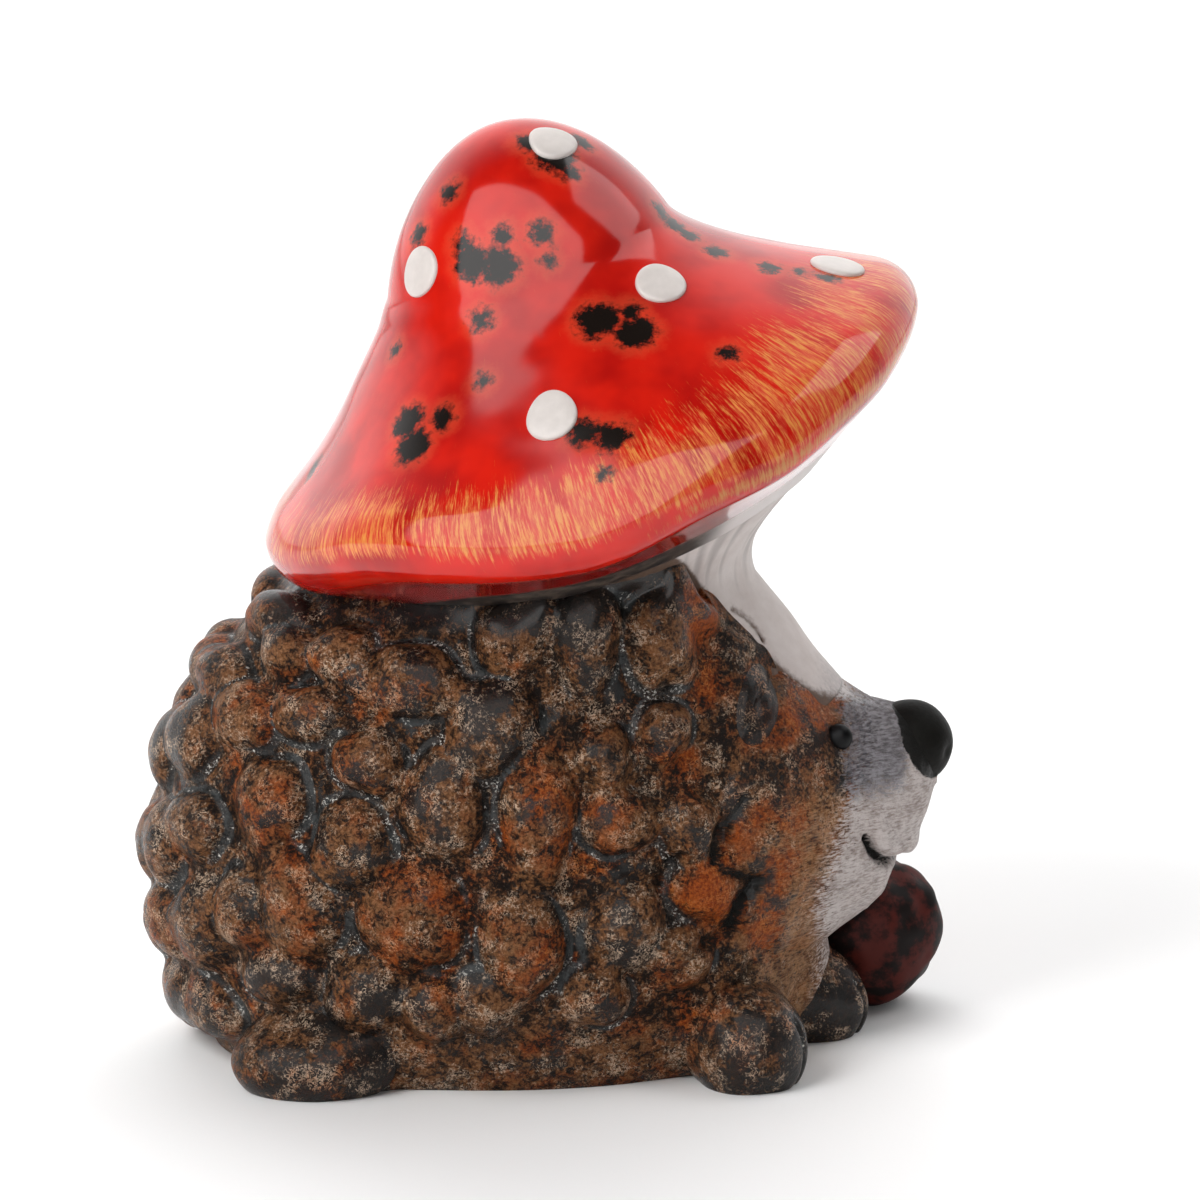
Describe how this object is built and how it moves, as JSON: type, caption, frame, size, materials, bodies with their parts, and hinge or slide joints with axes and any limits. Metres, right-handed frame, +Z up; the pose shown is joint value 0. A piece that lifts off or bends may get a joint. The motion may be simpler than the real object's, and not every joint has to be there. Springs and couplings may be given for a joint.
{
  "type": "hedgehog figurine",
  "caption": "Ceramic hedgehog figurine with a bobbled brown coat, a leaning red toadstool with white dots on its back and an apple at its paw.",
  "frame": {"origin": "middle of the bounding box's footprint, on the surface that the figurine stands on", "axes": "+X is the way the hedgehog faces, +Y is its left side, which the picture doesn't show, and +Z is up"},
  "size_m": [0.1311, 0.109, 0.1495],
  "materials": {
    "coat_glaze": "brown oxide, dry-brushed, with clear glaze left in the crevices",
    "face_slip": "matt cream slip over brown oxide",
    "black_glaze": "satin black glaze",
    "paw_oxide": "matt charcoal oxide",
    "apple_glaze": "mottled maroon glaze",
    "stem_slip": "matt white slip",
    "cap_glaze": "glossy red effect glaze with black spots",
    "dot_enamel": "raised white enamel"
  },
  "bodies": {
    "root": {"spine_coat": "coat_glaze", "head": "face_slip", "nose": "black_glaze", "eye_near": "black_glaze", "eye_far": "black_glaze", "hind_paw_near": "paw_oxide", "hind_paw_far": "paw_oxide", "fore_paw_near": "paw_oxide", "fore_paw_far": "paw_oxide", "ear_near": "paw_oxide", "ear_far": "paw_oxide", "apple": "apple_glaze", "toadstool_stem": "stem_slip", "toadstool_cap": "cap_glaze", "dot_crown": "dot_enamel", "dot_near_left": "dot_enamel", "dot_near_right": "dot_enamel", "dot_near_low": "dot_enamel", "dot_brim": "dot_enamel", "dot_far_right": "dot_enamel", "dot_far_low": "dot_enamel", "dot_far_left": "dot_enamel", "dot_back": "dot_enamel"}
  },
  "joints": []
}
